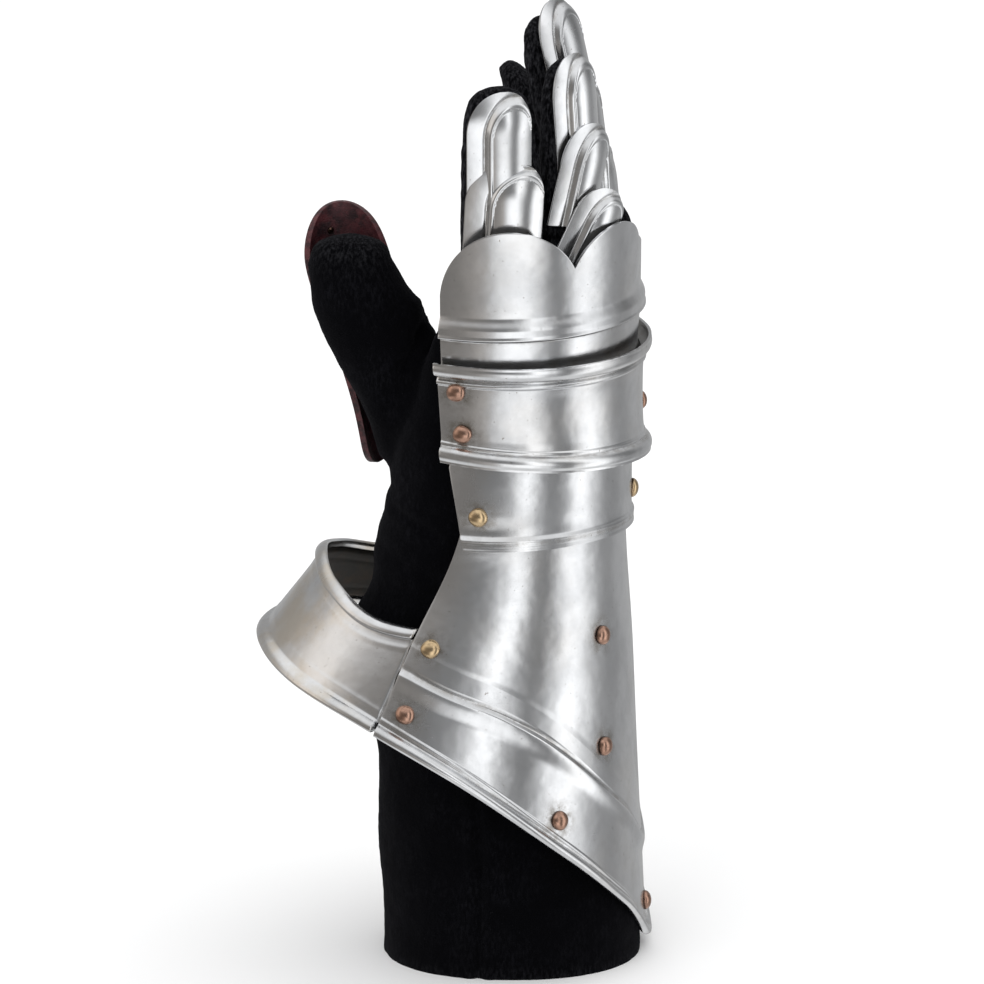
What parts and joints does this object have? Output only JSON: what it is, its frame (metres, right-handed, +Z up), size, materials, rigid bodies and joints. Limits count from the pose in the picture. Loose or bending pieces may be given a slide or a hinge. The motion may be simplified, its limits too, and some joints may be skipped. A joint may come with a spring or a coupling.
{
  "type": "armoured gauntlet",
  "caption": "Polished steel gauntlet with a flared cuff, hinged plates over the hand and finger plates on a black suede glove, standing with its fingers up.",
  "frame": {"origin": "centre of the bounding box's base, level with the glove's hem", "axes": "+Z up through the glove from the hem to the fingers; the back of the hand faces between +X and -Y, and the thumb is at -X"},
  "size_m": [0.16, 0.1608, 0.3911],
  "materials": {
    "steel": "polished sheet with faint grey and brown tarnish",
    "tarnished_steel": "polished sheet with yellowish tarnish",
    "copper": "darkened copper domes, worn bright on top",
    "black_suede": "deep black nap",
    "oxblood_leather": "smooth dark red-brown leather with a soft shine"
  },
  "bodies": {
    "glove": {"cuff_plate": "steel", "cuff_band": "tarnished_steel", "glove_cuff": "black_suede", "glove_hand": "black_suede", "glove_index": "black_suede", "glove_middle": "black_suede", "glove_ring": "black_suede", "glove_little": "black_suede", "glove_thumb": "black_suede", "thumb_guard": "oxblood_leather", "index_lame_tip": "steel", "index_lame_low": "steel", "middle_lame_tip": "steel", "middle_lame_mid": "steel", "middle_lame_low": "steel", "ring_lame_tip": "steel", "ring_lame_mid": "steel", "ring_lame_low": "steel", "little_lame_tip": "steel", "little_lame_low": "steel", "band_rivet_upper": "copper", "band_rivet_lower": "copper", "band_rivet_far_upper": "copper", "band_rivet_far_lower": "copper", "cuff_rivet_upper": "copper", "cuff_rivet_middle": "copper", "rim_rivet_front": "copper", "rim_rivet_outer": "copper", "guard_rivet_tip": "copper", "guard_rivet_base": "copper"},
    "wrist": {"wrist_lame": "steel", "wrist_pivot_index": "copper", "wrist_pivot_little": "copper"},
    "hand": {"hand_plate": "steel", "hand_pivot_index": "copper", "hand_pivot_little": "copper", "knuckle_pivot_index": "copper", "knuckle_pivot_little": "copper"},
    "knuckles": {"knuckle_plate": "steel"}
  },
  "joints": [
    {"name": "wrist_hinge", "type": "hinge", "parent": "glove", "child": "wrist", "pos_m": [0.03947, -0.0248, 0.1919], "axis": [0.7465, 0.6638, -0.0454], "range_deg": [0, 8]},
    {"name": "hand_hinge", "type": "hinge", "parent": "wrist", "child": "hand", "pos_m": [0.03808, -0.01376, 0.22425], "axis": [0.73, 0.6808, -0.0599], "range_deg": [0, 8]},
    {"name": "knuckle_hinge", "type": "hinge", "parent": "hand", "child": "knuckles", "pos_m": [0.03675, -0.01234, 0.2421], "axis": [0.7306, 0.6813, -0.0441], "range_deg": [0, 8]}
  ]
}
